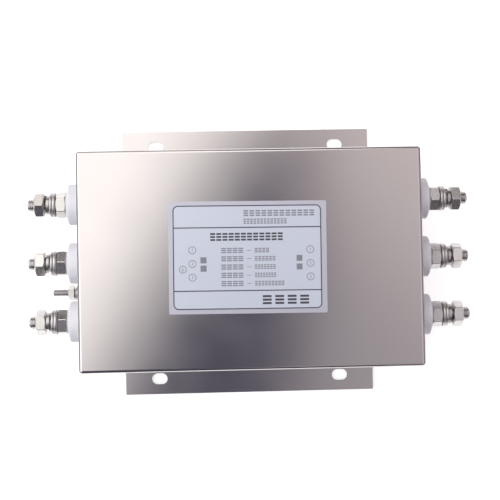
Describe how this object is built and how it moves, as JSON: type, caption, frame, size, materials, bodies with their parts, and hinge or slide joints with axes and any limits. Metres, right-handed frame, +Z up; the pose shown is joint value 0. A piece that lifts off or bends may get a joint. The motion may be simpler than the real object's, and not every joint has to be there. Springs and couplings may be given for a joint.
{
  "type": "three-phase line filter",
  "caption": "Mains line filter in a flat steel case with slotted mounting flanges, threaded stud terminals in white bushings on both ends and an earth stud.",
  "frame": {"origin": "centre of the base plate's underside, on the mounting surface", "axes": "+X along the filter from the line terminals to the load terminals, +Y across it towards the phase 1 terminals, +Z up through the lid"},
  "size_m": [0.328, 0.207, 0.0802],
  "materials": {
    "case_sheet": "bright plated steel sheet, smooth",
    "base_sheet": "bright plated steel sheet, smooth",
    "rivet": "plain",
    "label_film": "satin film with dark print",
    "bushing_plastic": "moulded, white",
    "stud_steel": "bright nickel plated, threaded",
    "nut_steel": "bright nickel plated",
    "washer_steel": "bright nickel plated",
    "spring_steel": "zinc plated",
    "copper": "bare copper strip",
    "tinned_strip": "tinned copper",
    "core_case": "dark cased ring core",
    "divider_plastic": "moulded, off-white",
    "insulating_sheet": "thin film",
    "circuit_board": "bare laminate",
    "capacitor_case": "moulded box",
    "small_capacitor_case": "moulded box",
    "lead_wire": "tinned wire",
    "resistor_body": "coated"
  },
  "bodies": {
    "root": {"base_insulator": "insulating_sheet", "base_plate": "base_sheet", "base_rivets": "rivet", "case": "case_sheet", "choke_core": "core_case", "discharge_resistors": "resistor_body", "earth_clamp_nut": "nut_steel", "earth_flat_washer": "washer_steel", "earth_strap": "tinned_strip", "earth_stud": "stud_steel", "earth_terminal_nut": "nut_steel", "earth_tooth_washer": "spring_steel", "input_bushing_1": "bushing_plastic", "input_bushing_2": "bushing_plastic", "input_bushing_3": "bushing_plastic", "input_capacitor_board": "circuit_board", "input_capacitor_leads": "lead_wire", "input_clamp_nuts": "nut_steel", "input_inner_bushing_1": "bushing_plastic", "input_inner_bushing_2": "bushing_plastic", "input_inner_bushing_3": "bushing_plastic", "input_inner_flat_washers": "washer_steel", "input_outer_flat_washers": "washer_steel", "input_spring_washers": "spring_steel", "input_strap_1": "copper", "input_strap_2": "copper", "input_strap_3": "copper", "input_stud_1": "stud_steel", "input_stud_2": "stud_steel", "input_stud_3": "stud_steel", "input_terminal_nuts": "nut_steel", "input_x_capacitors": "capacitor_case", "output_bushing_1": "bushing_plastic", "output_bushing_2": "bushing_plastic", "output_bushing_3": "bushing_plastic", "output_capacitor_board": "circuit_board", "output_capacitor_leads": "lead_wire", "output_clamp_nuts": "nut_steel", "output_inner_bushing_1": "bushing_plastic", "output_inner_bushing_2": "bushing_plastic", "output_inner_bushing_3": "bushing_plastic", "output_inner_flat_washers": "washer_steel", "output_outer_flat_washers": "washer_steel", "output_spring_washers": "spring_steel", "output_strap_1": "copper", "output_strap_2": "copper", "output_strap_3": "copper", "output_stud_1": "stud_steel", "output_stud_2": "stud_steel", "output_stud_3": "stud_steel", "output_terminal_nuts": "nut_steel", "output_x_capacitors": "capacitor_case", "phase_divider": "divider_plastic", "rating_label": "label_film", "winding_1": "copper", "winding_2": "copper", "winding_3": "copper", "y_capacitors": "small_capacitor_case"}
  },
  "joints": []
}
